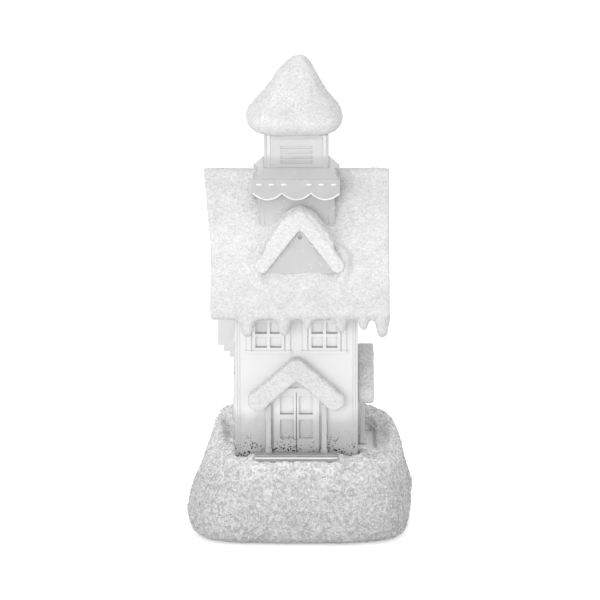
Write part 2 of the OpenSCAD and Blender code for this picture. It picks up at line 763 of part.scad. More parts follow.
module led_board() {
    color("seagreen") translate([house_x, 0, board_z]) difference() {
        slab(board_w, -board_d / 2, board_d / 2, 0, board_t);
        for (s = [-1, 1]) translate([s * board_screw_x, 0, -1]) cylinder(r = small_r + fit, h = board_t + 2);
    }
}

module leds() {
    flange_h = 1;
    body_h = 5.4;
    color("ivory", 0.7) for (k = [-1:1]) translate([house_x + k * lamp_pitch, 0, board_top + glue]) {
        cylinder(d = lamp_d + 0.8, h = flange_h);
        cylinder(d = lamp_d, h = flange_h + body_h);
        translate([0, 0, flange_h + body_h]) sphere(d = lamp_d);
    }
}

module driver_chip() {
    color("dimgray") translate([house_x, 0, board_top + glue])
        slab(5, board_d / 2 - 4.4, board_d / 2 - 0.8, 0, 1.3, lamp_pitch / 2);
}

module resistors() {
    color("tan") for (k = [-1:1]) translate([house_x + k * lamp_pitch, 0, board_top + glue])
        slab(3.2, -board_d / 2 + 0.8, -board_d / 2 + 2.4, 0, 0.6);
}

module board_screws() {
    color("silver") for (s = [-1, 1]) translate([house_x + s * board_screw_x, 0, board_z - head_h - glue])
        screw(small_head, 2 * small_r, board_t + small_bite);
}

module deck_screws() {
    color("silver") translate([house_x, 0, deck_z - head_h - glue]) at_corners(deck_screw_x, deck_screw_y)
        screw(small_head, 2 * small_r, deck_t + small_bite);
}

// Base plate, battery door and switch

module base_plate() {
    outline = [for (t = angles(mound_sides)) squarish(plate_a, plate_b, t, mound_square)];
    rib_x = switch_l / 2 + fit / 2;
    color("white") on_plate() difference() {
        union() {
            translate([0, 0, plate_z]) linear_extrude(plate_t - glue) polygon(outline);
            slab(bay_l + 2 * bay_wall, -bay_w / 2 - bay_wall, bay_w / 2 + bay_wall, plate_z, bay_top);
            for (s = [-1, 1]) slab(1.2, switch_y - switch_w / 2, switch_y + switch_w / 2, plate_z, plate_top + 3, s * (rib_x + 0.6));
        }
        slab(bay_l, -bay_w / 2, bay_w / 2, plate_z - 1, bay_ceiling);
        slab(latch_l + bay_wall, -latch_w / 2 - fit, latch_w / 2 + fit, plate_z - 1, plate_top - glue,
            bay_l / 2 + (latch_l + bay_wall) / 2 - glue);
        slab(latch_l, -latch_w / 2 - fit, latch_w / 2 + fit, plate_z - 1, plate_top + 3,
            bay_l / 2 + bay_wall + latch_l / 2);
        for (s = [0, 1]) mirror([0, s, 0]) translate([hinge_x, bay_w / 2 - 1, hinge_z]) rotate([-90, 0, 0])
            cylinder(r = pin_r + pin_fit, h = 1 + bay_wall - 0.2);
        for (s = [-1, 1]) slab(contact_t + fit, s * cell_pitch - tab_w / 2 - fit, s * cell_pitch + tab_w / 2 + fit,
            bay_ceiling - 1, bay_top + 1, -s * (bay_l / 2 - contact_t / 2 - fit / 2));
        slab(slot_l + 5, switch_y - slot_w / 2 - 2.2, switch_y + slot_w / 2 + 2.2, plate_z - 1, plate_z + well_h);
        slab(slot_l, switch_y - slot_w / 2, switch_y + slot_w / 2, plate_z - 1, plate_top + 1);
        at_corners(screw_x, screw_y) translate([0, 0, plate_z - 1]) {
            cylinder(d = screw_d + 2 * head_lip + fit, h = 1 + head_h);
            cylinder(d = screw_d + fit, h = plate_t + 2);
        }
        at_corners(foot_x, foot_y) translate([0, 0, plate_z - 1]) cylinder(d = foot_d + 2 * glue, h = 1 + plate_recess);
    }
}

module battery_door() {
    door_w = bay_w - 2 * fit;
    end_x = bay_l / 2 - fit;
    hook_x = bay_l / 2 + bay_wall + 0.8;
    hook_w = latch_w - fit;
    color("white") on_plate() difference() {
        union() {
            slab(end_x - hinge_x, -door_w / 2, door_w / 2, door_z, door_top, (end_x + hinge_x) / 2);
            translate([hinge_x, -door_w / 2, hinge_z]) rotate([-90, 0, 0]) cylinder(r = hinge_r, h = door_w);
            translate([hinge_x, -bay_w / 2 - bay_wall + 0.4, hinge_z]) rotate([-90, 0, 0])
                cylinder(r = pin_r, h = bay_w + 2 * bay_wall - 0.8);
            slab(hook_x + 1.2 - end_x + 1, -hook_w / 2, hook_w / 2, door_z, min(door_top, plate_top - 2 * glue),
                (hook_x + 1.2 + end_x - 1) / 2);
            slab(1.2, -hook_w / 2, hook_w / 2, door_z, plate_top + 1, hook_x + 0.6);
            slab(latch_l - 0.6, -hook_w / 4, hook_w / 4, plate_top + 0.2, plate_top + 1, hook_x + latch_l / 2 - 0.3);
        }
        for (k = [0:2]) slab(0.7, -hook_w / 2 + 1.5, hook_w / 2 - 1.5, door_z - 1, door_z + 0.4, end_x - 2 - k * 1.6);
    }
}

// One cell; every second one lies the other way round
module cell(i) {
    colours = ["darkgoldenrod", "goldenrod"];
    nub = 0.9;
    way = i % 2;
    color(colours[way]) on_plate() translate([0, (i - (cell_count - 1) / 2) * cell_pitch, cell_z]) mirror([way, 0, 0])
        translate([-bay_l / 2 + contact_t + spring_l, 0, 0]) rotate([0, 90, 0]) {
            translate([0, 0, glue]) cylinder(d = cell_d, h = cell_l - nub - 2 * glue);
            cylinder(d = 3.8, h = cell_l - glue);
        }
}

module battery_1() { cell(0); }
module battery_2() { cell(1); }
module battery_3() { cell(2); }

// Tapered coil from its contact plate to the flat end of a cell
spring_turns = 3.5;
spring_r = [3.3, 2.2];       // radii of the coil at the plate and at the cell
function coil_point(u) =
    let (r = spring_r[0] + (spring_r[1] - spring_r[0]) * u, t = 360 * spring_turns * u)
    [spring_wire / 2 + glue + u * (spring_l - spring_wire - 2 * glue), r * cos(t), r * sin(t)];
spring_pitch = norm([(spring_l - spring_wire) / spring_turns, (spring_r[0] - spring_r[1]) / spring_turns]);
echo(least_gap_in_a_contact_spring = spring_pitch - spring_wire);

module contact_springs() {
    rings = 8 * spring_turns;
    color("silver") on_plate() for (i = [0:cell_count - 1])
        translate([0, (i - (cell_count - 1) / 2) * cell_pitch, cell_z]) mirror([i % 2, 0, 0])
            translate([-bay_l / 2 + contact_t, 0, 0])
                tube([for (k = [0:rings]) coil_point(k / rings)], spring_wire / 2, 6);
}

module contact_plates() {
    head = cell_z + contact_w / 2;
    color("silver") on_plate() {
        for (i = [0:cell_count - 1]) for (s = [-1, 1])
            translate([s * (bay_l / 2 - contact_t / 2), (i - (cell_count - 1) / 2) * cell_pitch, 0])
                slab(contact_t - glue, -contact_w / 2, contact_w / 2, contact_foot, head);
        for (s = [-1, 1]) slab(contact_t - glue, s * cell_pitch - tab_w / 2, s * cell_pitch + tab_w / 2, head - 1, tab_top,
            -s * (bay_l / 2 - contact_t / 2));
    }
}

module switch_body() {
    room_l = knob_l + switch_travel + 2.6;
    color("gray") on_plate() translate([0, switch_y, 0]) difference() {
        union() {
            slab(switch_l, -switch_w / 2, switch_w / 2, plate_top, plate_top + switch_h);
            for (k = [-1:1]) slab(1.2, -0.3, 0.3, pin_z - 0.5, pin_z + pin_h, k * 2.8);
        }
        slab(room_l, -switch_w / 2 + switch_wall, switch_w / 2 - switch_wall,
            plate_top + switch_wall, plate_top + switch_h - switch_wall);
        slab(slot_l, -slot_w / 2, slot_w / 2, plate_top - 1, plate_top + switch_h / 2);
    }
}

module switch_slider() {
    x = -switch_travel / 2;
    carriage_w = switch_w - 2 * switch_wall - fit;
    floor_z = plate_top + switch_wall + fit / 3;
    color("black") on_plate() translate([x, switch_y, 0]) {
        slab(knob_l, -knob_w / 2, knob_w / 2, plate_z + 0.1, floor_z + 1);
        slab(knob_l + 2, -carriage_w / 2, carriage_w / 2, floor_z, plate_top + switch_h - switch_wall - fit / 3);
    }
}

// Wires: from the bay's tabs to the switch and the board, in the space above the bay
wire_z = bay_top + wire_d / 2 + 0.5;
tab_x = bay_l / 2 - contact_t - wire_d / 20 + mound_x;
pad_z = board_z - 3 * glue;
tap_z = pin_z + pin_h + 3 * glue;
red_route = [
    [tab_x, -cell_pitch, wire_z], [tab_x - 3, -cell_pitch, wire_z], [21, -6, wire_z], [19, 3, wire_z],
    [17, 12, wire_z], [11, switch_y - 5, wire_z - 0.2], [5, switch_y - 0.6, tap_z + 4],
    [2.8 + mound_x, switch_y, tap_z + 2], [2.8 + mound_x, switch_y, tap_z]
];
blue_route = [
    [mound_x, switch_y, tap_z], [mound_x, switch_y, tap_z + 2], [-1, switch_y - 1, tap_z + 4.2],
    [-3, switch_y - 6, wire_z + 0.2], [-5, board_d / 2 + 3, wire_z], [-5, board_d / 2 - 1, wire_z],
    [-5, board_d / 2 - 3, wire_z + 0.3], [-5, board_d / 2 - 3, pad_z]
];
black_route = [
    [2 * mound_x - tab_x, cell_pitch, wire_z], [2 * mound_x - tab_x + 3, cell_pitch, wire_z], [-18, 9.5, wire_z],
    [-13, 7, wire_z], [-10, 5.5, wire_z], [-8.5, 4, wire_z + 0.3], [-8.5, 4, pad_z]
];
module wire(route) {
    tube(smoothed(route, 4), wire_d / 2, 8);
}
module wire_red() { color("firebrick") wire(red_route); }
module wire_black() { color("black") wire(black_route); }
module wire_blue() { color("royalblue") wire(blue_route); }

module base_screws() {
    color("silver") on_plate() translate([0, 0, plate_z]) at_corners(screw_x, screw_y)
        screw(screw_d + 2 * head_lip, screw_d, screw_l);
}

module rubber_feet() {
    color("gray") on_plate() at_corners(foot_x, foot_y) cylinder(d = foot_d, h = plate_z + plate_recess - glue);
}

snow_base();
house_walls();
roof();
dormer_gable();  // front_dormer_gable
dormer_snow();  // front_dormer_snow
mirror([0, 1, 0]) dormer_gable();  // rear_dormer_gable
mirror([0, 1, 0]) dormer_snow();  // rear_dormer_snow
tower_stage();
tower_skirt();
belfry();
tower_cap();
canopy(0);  // front_canopy
canopy(90);  // side_canopy
step(0);  // front_step
step(90);  // side_step
oriel();
oriel_snow();
light_deck();
led_board();
leds();
driver_chip();
resistors();
board_screws();
deck_screws();
base_plate();
battery_door();
battery_1();
battery_2();
battery_3();
contact_springs();
contact_plates();
switch_body();
switch_slider();
wire_red();
wire_black();
wire_blue();
base_screws();
rubber_feet();
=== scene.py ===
import math
import random

import bmesh
import bpy
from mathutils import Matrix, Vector, noise
from mathutils.bvhtree import BVHTree


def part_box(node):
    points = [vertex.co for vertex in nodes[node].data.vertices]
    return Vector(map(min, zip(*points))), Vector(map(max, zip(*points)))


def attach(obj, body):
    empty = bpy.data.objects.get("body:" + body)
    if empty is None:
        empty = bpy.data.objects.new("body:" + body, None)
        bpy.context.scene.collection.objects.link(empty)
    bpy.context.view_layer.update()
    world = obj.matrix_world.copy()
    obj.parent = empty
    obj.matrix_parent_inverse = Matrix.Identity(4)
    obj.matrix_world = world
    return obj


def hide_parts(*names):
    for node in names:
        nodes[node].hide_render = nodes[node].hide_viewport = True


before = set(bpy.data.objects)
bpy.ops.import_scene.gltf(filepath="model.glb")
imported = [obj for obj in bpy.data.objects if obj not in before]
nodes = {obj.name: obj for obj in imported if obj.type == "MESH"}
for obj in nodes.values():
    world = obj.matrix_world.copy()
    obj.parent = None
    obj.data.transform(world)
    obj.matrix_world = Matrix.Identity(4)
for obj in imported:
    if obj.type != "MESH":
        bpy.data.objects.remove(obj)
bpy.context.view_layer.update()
scene = bpy.context.scene
mm = 0.001
print("frame loaded:", len(nodes), "pieces")


# studio and camera

studio = {
    "elevation": 12,            # degrees above the table
    "distance": 2.4,
    "aim": (0.0002, 0, 0.0913),
    "pixelsPerMetre": 2530,     # at the aim point
    "imageWidth": 600,
    "sensor": 36,
    "worldLight": 0.79,
    # place, width and power of each lamp
    "lamps": {"keySoftbox": ((-0.36, -1.02, 0.22), 0.8, 5.0), "topSoftbox": ((-0.2, -0.2, 0.8), 0.6, 0.7)},
    "lampAim": (0, 0, 0.09),
    "floorReach": 3.0,
    "floorTone": 0.86,
    "floorRough": 0.9,
    "floorGlow": 0.5,           # only in what the camera sees, so that the table goes white
}


def makeCamera():
    cam = bpy.data.cameras.new("camera")
    obj = bpy.data.objects.new("camera", cam)
    scene.collection.objects.link(obj)
    tilt = math.radians(studio["elevation"])
    back = Vector((0, -math.cos(tilt), math.sin(tilt))) * studio["distance"]
    obj.location = Vector(studio["aim"]) + back
    obj.rotation_euler = (math.pi / 2 - tilt, 0, 0)
    cam.sensor_width = studio["sensor"]
    cam.lens = studio["pixelsPerMetre"] * studio["distance"] * cam.sensor_width / studio["imageWidth"]
    cam.clip_start = 0.01
    scene.camera = obj


# 1 for what shows straight on, mirrored or through a clear piece, 0 for light that only falls on things
def shows(tree):
    path = tree.nodes.new("ShaderNodeLightPath")
    seen = path.outputs["Is Camera Ray"]
    for kind in ("Is Glossy Ray", "Is Transmission Ray"):
        either = tree.nodes.new("ShaderNodeMath")
        either.operation = "MAXIMUM"
        tree.links.new(seen, either.inputs[0])
        tree.links.new(path.outputs[kind], either.inputs[1])
        seen = either.outputs[0]
    return seen


def makeWorld():
    world = bpy.data.worlds.new("studio")
    scene.world = world
    world.use_nodes = True
    tree = world.node_tree
    tree.nodes.clear()
    out = tree.nodes.new("ShaderNodeOutputWorld")
    soft = tree.nodes.new("ShaderNodeBackground")
    soft.inputs["Color"].default_value = (1, 1, 1, 1)
    soft.inputs["Strength"].default_value = studio["worldLight"]
    white = tree.nodes.new("ShaderNodeBackground")
    white.inputs["Color"].default_value = (1, 1, 1, 1)
    mix = tree.nodes.new("ShaderNodeMixShader")
    tree.links.new(shows(tree), mix.inputs[0])
    tree.links.new(soft.outputs[0], mix.inputs[1])
    tree.links.new(white.outputs[0], mix.inputs[2])
    tree.links.new(mix.outputs[0], out.inputs[0])


def makeLamp(name, place, size, power):
    lamp = bpy.data.lights.new(name, "AREA")
    lamp.shape = "DISK"
    lamp.size = size
    lamp.energy = power
    obj = bpy.data.objects.new(name, lamp)
    obj.location = place
    obj.rotation_euler = (Vector(studio["lampAim"]) - Vector(place)).to_track_quat("-Z", "Y").to_euler()
    scene.collection.objects.link(obj)


def makeFloor():
    reach, tone = studio["floorReach"], studio["floorTone"]
    mesh = bpy.data.meshes.new("table")
    corners = [(-reach, -reach, 0), (reach, -reach, 0), (reach, reach, 0), (-reach, reach, 0)]
    mesh.from_pydata(corners, [], [(0, 1, 2, 3)])
    floor = bpy.data.objects.new("table", mesh)
    scene.collection.objects.link(floor)
    mat = bpy.data.materials.new("tablePaint")
    mat.use_nodes = True
    tree = mat.node_tree
    paint = tree.nodes["Principled BSDF"]
    paint.inputs["Base Color"].default_value = (tone, tone, tone, 1)
    paint.inputs["Roughness"].default_value = studio["floorRough"]
    glow = tree.nodes.new("ShaderNodeEmission")
    glow.inputs["Strength"].default_value = studio["floorGlow"]
    both = tree.nodes.new("ShaderNodeAddShader")
    mix = tree.nodes.new("ShaderNodeMixShader")
    tree.links.new(paint.outputs[0], both.inputs[0])
    tree.links.new(glow.outputs[0], both.inputs[1])
    tree.links.new(shows(tree), mix.inputs[0])
    tree.links.new(paint.outputs[0], mix.inputs[1])
    tree.links.new(both.outputs[0], mix.inputs[2])
    tree.links.new(mix.outputs[0], tree.nodes["Material Output"].inputs[0])
    floor.data.materials.append(mat)


makeCamera()
makeWorld()
for name, (place, size, power) in studio["lamps"].items():
    makeLamp(name, place, size, power)
makeFloor()
scene.view_settings.view_transform = "Standard"
print("studio ready")


# materials

def newMaterial(name):
    mat = bpy.data.materials.new(name)
    mat.use_nodes = True
    tree = mat.node_tree
    return mat, tree, tree.nodes["Principled BSDF"]


def metres(tree):
    return tree.nodes.new("ShaderNodeTexCoord").outputs["Object"]


def noiseAt(tree, perMetre, detail=3.0):
    tex = tree.nodes.new("ShaderNodeTexNoise")
    tex.inputs["Scale"].default_value = perMetre
    tex.inputs["Detail"].default_value = detail
    tree.links.new(metres(tree), tex.inputs["Vector"])
    return tex.outputs["Fac"]


# Cells of a given size, which differ in colour and fall off from their middles
def cellsOf(tree, size):
    tex = tree.nodes.new("ShaderNodeTexVoronoi")
    tex.inputs["Scale"].default_value = 1 / size
    tree.links.new(metres(tree), tex.inputs["Vector"])
    return tex.outputs


def ramp(tree, source, low, high, start=0.3, end=0.7):
    node = tree.nodes.new("ShaderNodeValToRGB")
    node.color_ramp.elements[0].position = start
    node.color_ramp.elements[1].position = end
    node.color_ramp.elements[0].color = tuple(low) + (1,)
    node.color_ramp.elements[1].color = tuple(high) + (1,)
    tree.links.new(source, node.inputs["Fac"])
    return node.outputs["Color"]


def spread(tree, source, low, high):
    node = tree.nodes.new("ShaderNodeMapRange")
    node.inputs["To Min"].default_value = low
    node.inputs["To Max"].default_value = high
    tree.links.new(source, node.inputs["Value"])
    return node.outputs["Result"]


def bump(tree, source, paint, depth, strength):
    node = tree.nodes.new("ShaderNodeBump")
    node.inputs["Distance"].default_value = depth
    node.inputs["Strength"].default_value = strength
    tree.links.new(source, node.inputs["Height"])
    tree.links.new(node.outputs["Normal"], paint.inputs["Normal"])


def grey(tone):
    return (tone, tone, tone)


# In all finishes: mottle, sheen and grain are marks to the metre, and relief is a depth and a strength
plastic = {
    "mottle": 300,
    "dark": 0.88,               # of the colour, in the darker patches
    "sheen": 900,
    "roughness": (-0.08, 0.1),  # less and more than the finish has
    "grain": 4000,
    "relief": (0.00004, 0.5),
}


def mouldedPlastic(name, colour, rough=0.45):
    mat, tree, paint = newMaterial(name)
    dark = tuple(c * plastic["dark"] for c in colour)
    less, more = plastic["roughness"]
    tree.links.new(ramp(tree, noiseAt(tree, plastic["mottle"]), dark, colour), paint.inputs["Base Color"])
    tree.links.new(spread(tree, noiseAt(tree, plastic["sheen"]), rough + less, rough + more),
                   paint.inputs["Roughness"])
    bump(tree, noiseAt(tree, plastic["grain"]), paint, *plastic["relief"])
    return mat


steel = {
    "mottle": 900,
    "tones": (0.5, 0.68),
    "sheen": 2500,
    "roughness": (0.18, 0.42),
    "grain": 6000,
    "relief": (0.00002, 0.4),
}


def platedSteel(name):
    mat, tree, paint = newMaterial(name)
    paint.inputs["Metallic"].default_value = 1.0
    dark, light = steel["tones"]
    tone = ramp(tree, noiseAt(tree, steel["mottle"]), grey(dark), grey(light))
    tree.links.new(tone, paint.inputs["Base Color"])
    tree.links.new(spread(tree, noiseAt(tree, steel["sheen"]), *steel["roughness"]), paint.inputs["Roughness"])
    bump(tree, noiseAt(tree, steel["grain"]), paint, *steel["relief"])
    return mat


def heightOf(tree, low, high):
    split = tree.nodes.new("ShaderNodeSeparateXYZ")
    tree.links.new(metres(tree), split.inputs[0])
    span = tree.nodes.new("ShaderNodeMapRange")
    span.inputs["From Min"].default_value = low
    span.inputs["From Max"].default_value = high
    tree.links.new(split.outputs["Z"], span.inputs["Value"])
    return span.outputs["Result"]


def times(tree, a, b):
    mix = tree.nodes.new("ShaderNodeMix")
    mix.data_type = "RGBA"
    mix.blend_type = "MULTIPLY"
    mix.clamp_result = True
    mix.inputs["Factor"].default_value = 1.0
    tree.links.new(a, mix.inputs["A"])
    tree.links.new(b, mix.inputs["B"])
    return mix.outputs["Result"]


bandEdge = {
    "waves": 130,               # to the metre
    "shift": 0.05,              # how far they move an edge, as a share of all bands
}


# Grey that follows the height above the table, with a wavy edge between its bands
def bandsOf(tree, bands):
    low, high = bands[0][0], bands[-1][0]
    shade = tree.nodes.new("ShaderNodeValToRGB")
    marks = shade.color_ramp.elements
    while len(marks) < len(bands):
        marks.new(0.5)
    for mark, (height, tone) in zip(marks, bands):
        mark.position = (height - low) / (high - low)
        mark.color = grey(tone) + (1,)
    wavy = tree.nodes.new("ShaderNodeMath")
    wavy.operation = "ADD"
    shift = spread(tree, noiseAt(tree, bandEdge["waves"]), -bandEdge["shift"], bandEdge["shift"])
    tree.links.new(heightOf(tree, low, high), wavy.inputs[0])
    tree.links.new(shift, wavy.inputs[1])
    tree.links.new(wavy.outputs[0], shade.inputs["Fac"])
    return shade.outputs["Color"]


# Painted shade: darkens the corners that the piece makes with itself, where shade falls
def paintedCreaseShade(tree, width, tone):
    hollow = tree.nodes.new("ShaderNodeAmbientOcclusion")
    hollow.only_local = True
    hollow.samples = 6
    hollow.inputs["Distance"].default_value = width
    return ramp(tree, hollow.outputs["AO"], grey(tone), grey(1), start=0.35, end=0.85)


acrylic = {
    "ior": 1.46,
    "sheen": 700,
    "ripples": 220,
    "relief": (0.00012, 0.6),
    "creaseShade": (0.001, 0.7),     # width and tone of the painted shade in corners
    "mottle": 160,
    "dark": 0.94,               # of the tint, in the darker patches
    "roughest": 2.2,            # times the finish's roughness
}


def rippled(tree, paint, roughness):
    tree.links.new(spread(tree, noiseAt(tree, acrylic["sheen"]), *roughness), paint.inputs["Roughness"])
    bump(tree, noiseAt(tree, acrylic["ripples"]), paint, *acrylic["relief"])


def clearAcrylic(name, tint, rough, through, solid=1.0, bands=None):
    mat, tree, paint = newMaterial(name)
    paint.inputs["Transmission Weight"].default_value = through
    paint.inputs["IOR"].default_value = acrylic["ior"]
    paint.inputs["Alpha"].default_value = solid
    tone = ramp(tree, noiseAt(tree, acrylic["mottle"]), grey(tint * acrylic["dark"]), grey(tint))
    # bands paint shade by height into the tint
    if bands:
        tone = times(tree, tone, bandsOf(tree, bands))
    # the tint is darkened by painted shade in the piece's corners
    tree.links.new(times(tree, tone, paintedCreaseShade(tree, *acrylic["creaseShade"])), paint.inputs["Base Color"])
    rippled(tree, paint, (rough, rough * acrylic["roughest"]))
    return mat


walls = {
    "through": 0.08,            # how much light passes, against what the milky moulding scatters
    "roughness": (0.03, 0.12),
    # width and tone of the painted shade in the walls' corners
    "creaseShade": (0.0013, 0.82),
    # height above the table, and how solid the moulding looks there, frosted by the snow at its foot
    "solid": [(0.031, 0.9), (0.048, 0.9), (0.058, 0.78), (0.074, 0.78), (0.082, 0.85), (0.11, 0.85)],
    # height above the table, and how light the moulding looks there
    "tones": [(0.031, 0.32), (0.0345, 0.36), (0.0375, 0.5), (0.043, 0.58), (0.047, 0.66), (0.0495, 0.8),
              (0.053, 1.0), (0.075, 1.0), (0.11, 0.98)],
    "speck": 0.0009,            # cells of the loose glitter seen in the foot of the walls
    "speckFoot": (0.034, 0.047),    # heights between which it thins out
    "speckFill": (0.5, 0.03),   # share of its cell that a speck fills at these heights
    "speckTone": 0.05,
    "speckSolid": 0.95,
    "patches": 260,             # to the metre, where specks gather
    "bare": 0.15,               # size of the specks between the patches
}


def wallAcrylic(name):
    mat, tree, paint = newMaterial(name)
    paint.inputs["IOR"].default_value = acrylic["ior"]
    paint.inputs["Transmission Weight"].default_value = walls["through"]
    low, high = (grey(fill) for fill in walls["speckFill"])
    foot = ramp(tree, heightOf(tree, *walls["speckFoot"]), low, high, start=0.05, end=0.95)
    gathered = ramp(tree, noiseAt(tree, walls["patches"]), grey(walls["bare"]), grey(1), start=0.36, end=0.52)
    clear = tree.nodes.new("ShaderNodeMath")    # 0 in a speck, 1 beside it
    clear.operation = "GREATER_THAN"
    tree.links.new(cellsOf(tree, walls["speck"])["Distance"], clear.inputs[0])
    tree.links.new(times(tree, foot, gathered), clear.inputs[1])
    spotted = ramp(tree, clear.outputs[0], grey(walls["speckTone"]), grey(1), start=0, end=1)
    cover = tree.nodes.new("ShaderNodeMath")
    cover.operation = "MAXIMUM"
    tree.links.new(bandsOf(tree, walls["solid"]), cover.inputs[0])
    tree.links.new(spread(tree, clear.outputs[0], walls["speckSolid"], 0), cover.inputs[1])
    tree.links.new(cover.outputs[0], paint.inputs["Alpha"])
    tone = times(tree, bandsOf(tree, walls["tones"]), spotted)
    # the tone is darkened by painted shade in the walls' corners
    tree.links.new(times(tree, tone, paintedCreaseShade(tree, *walls["creaseShade"])), paint.inputs["Base Color"])
    rippled(tree, paint, walls["roughness"])
    return mat


crumbs = {
    "drifts": 140,              # to the metre
    "driftTone": 0.9,
    "roughness": (0.25, 0.75),
    "relief": (0.5, 0.8),       # depth in cells, and strength
    "flakeRoughness": (0.12, 0.4),
}


# bands: height above the table, and how light the snow looks there, which paints light and shade by height
def glitterSnow(name, dark, light, cell, bands):
    mat, tree, paint = newMaterial(name)
    cells = cellsOf(tree, cell)
    shade = tree.nodes.new("ShaderNodeSeparateColor")
    tree.links.new(cells["Color"], shade.inputs["Color"])
    drift = ramp(tree, noiseAt(tree, crumbs["drifts"]), grey(crumbs["driftTone"]), grey(1))
    tone = ramp(tree, shade.outputs[0], grey(dark), grey(light), start=0.1, end=0.9)
    tree.links.new(times(tree, times(tree, tone, drift), bandsOf(tree, bands)), paint.inputs["Base Color"])
    tree.links.new(spread(tree, shade.outputs[1], *crumbs["roughness"]), paint.inputs["Roughness"])
    depth, strength = crumbs["relief"]
    bump(tree, cells["Distance"], paint, cell * depth, strength)
    return mat


def flakeFoil(name, dark, light, bands):
    mat, tree, paint = newMaterial(name)
    each = tree.nodes.new("ShaderNodeNewGeometry").outputs["Random Per Island"]
    tone = ramp(tree, each, grey(dark), grey(light), start=0, end=0.9)
    # bands paint light and shade by height into the flakes' tone
    tree.links.new(times(tree, tone, bandsOf(tree, bands)), paint.inputs["Base Color"])
    tree.links.new(spread(tree, each, *crumbs["flakeRoughness"]), paint.inputs["Roughness"])
    return mat


# Painted shade by height: the roof's snow darkens along the eave and up towards the ridge and the tower, where
# shade falls
roofPaintedShade = [(0.09, 0.92), (0.1, 0.94), (0.107, 1.0), (0.122, 1.0), (0.14, 0.92), (0.147, 0.96),
              (0.16, 0.97)]
# Painted light by height: the mound's snow is darker at its foot and lighter up to its shoulders, as if lit
# from above
moundPaintedLight = [(0, 0.67), (0.012, 0.69), (0.022, 0.74), (0.03, 0.83), (0.036, 1.0)]
# Painted shadow: the tower stage darkens under the skirt's overhang
stagePaintedShadow = [(0.12, 1.0), (0.126, 0.98), (0.131, 0.86), (0.136, 0.74), (0.146, 0.72)]
# Painted light by height for the mound's flakes: darker at the foot, lighter towards the top
flakePaintedLight = [(0, 0.8), (0.02, 0.88), (0.032, 0.98), (0.045, 1.0)]
materials = {
    "wall": wallAcrylic("wallAcrylic"),
    # tint, roughness, light that passes, and how solid it looks
    "step": clearAcrylic("stepAcrylic", 0.85, 0.1, 0.4, 0.55),
    "tower": clearAcrylic("towerAcrylic", 0.94, 0.15, 0.35, 1.0, stagePaintedShadow),
    "gable": clearAcrylic("gableAcrylic", 0.85, 0.15, 0.35),
    "skirt": clearAcrylic("skirtAcrylic", 0.66, 0.15, 0.2),
    "frost": clearAcrylic("frostedAcrylic", 0.96, 0.3, 0.3, 0.6),
    "frostedStep": clearAcrylic("frostedStep", 0.97, 0.3, 0.1),
    "post": clearAcrylic("postAcrylic", 0.85, 0.12, 0.2, 0.5),
    "oriel": clearAcrylic("orielAcrylic", 0.84, 0.3, 0.15),
    "lens": clearAcrylic("lampLens", 0.9, 0.08, 0.7),
    # darkest and lightest crumb or flake, and size of a crumb
    "roof": glitterSnow("roofGlitter", 0.75, 0.87, 0.0007, roofPaintedShade),
    "mound": glitterSnow("moundGlitter", 0.64, 0.98, 0.0009, moundPaintedLight),
    "roofFlake": flakeFoil("roofFlakes", 0.64, 0.94, roofPaintedShade),
    "moundFlake": flakeFoil("moundFlakes", 0.42, 1.0, flakePaintedLight),
    # colour and roughness
    # painted shade: dark lines for the pane sills and the step grooves
    "sill": mouldedPlastic("sillShadeLine", (0.42, 0.42, 0.42), 0.2),
    # painted reflection: the fine lines beside the clear corners
    "line": mouldedPlastic("edgeReflectionLine", (0.66, 0.66, 0.66), 0.2),
    # white beads on the steps, and painted highlights on the tower skirt
    "pearl": mouldedPlastic("whiteBeadAndHighlight", (0.97, 0.97, 0.97), 0.25),
    "white": mouldedPlastic("whiteMoulding", (0.82, 0.82, 0.81)),
    "board": mouldedPlastic("boardLacquer", (0.04, 0.25, 0.11), 0.35),
    "black": mouldedPlastic("blackMoulding", (0.025, 0.025, 0.027)),
    "resistor": mouldedPlastic("resistorBody", (0.42, 0.33, 0.23), 0.5),
    "steel": platedSteel("platedSteel"),
    "cell": mouldedPlastic("cellSleeve", (0.2, 0.22, 0.25), 0.3),
    "red": mouldedPlastic("redVinyl", (0.5, 0.03, 0.03)),
    "blackWire": mouldedPlastic("blackVinyl", (0.02, 0.02, 0.02)),
    "blue": mouldedPlastic("blueVinyl", (0.04, 0.1, 0.42)),
    "rubber": mouldedPlastic("footRubber", (0.2, 0.2, 0.2), 0.7),
}
print("materials ready:", len(materials))


# carried-over pieces

finishOf = {
    "house_walls": "wall", "front_dormer_gable": "gable", "rear_dormer_gable": "gable",
    "tower_stage": "tower", "tower_skirt": "skirt", "belfry": "frost", "front_step": "step",
    "side_step": "frostedStep", "oriel": "oriel", "light_deck": "white", "led_board": "board",
    "leds": "lens", "driver_chip": "black", "resistors": "resistor", "board_screws": "steel",
    "deck_screws": "steel", "base_plate": "white", "battery_door": "white", "battery_1": "cell",
    "battery_2": "cell", "battery_3": "cell", "contact_springs": "steel", "contact_plates": "steel",
    "switch_body": "steel", "switch_slider": "black", "wire_red": "red", "wire_black": "blackWire",
    "wire_blue": "blue", "base_screws": "steel", "rubber_feet": "rubber",
}


def paintNode(name, finish):
    data = nodes[name].data
    data.materials.clear()
    data.materials.append(materials[finish])


for name, finish in finishOf.items():
    paintNode(name, finish)
print("carried-over pieces painted:", len(finishOf))


# painted shade: dark sloping sills in the foot of every pane, which paint the shade lines seen through the
# clear walls

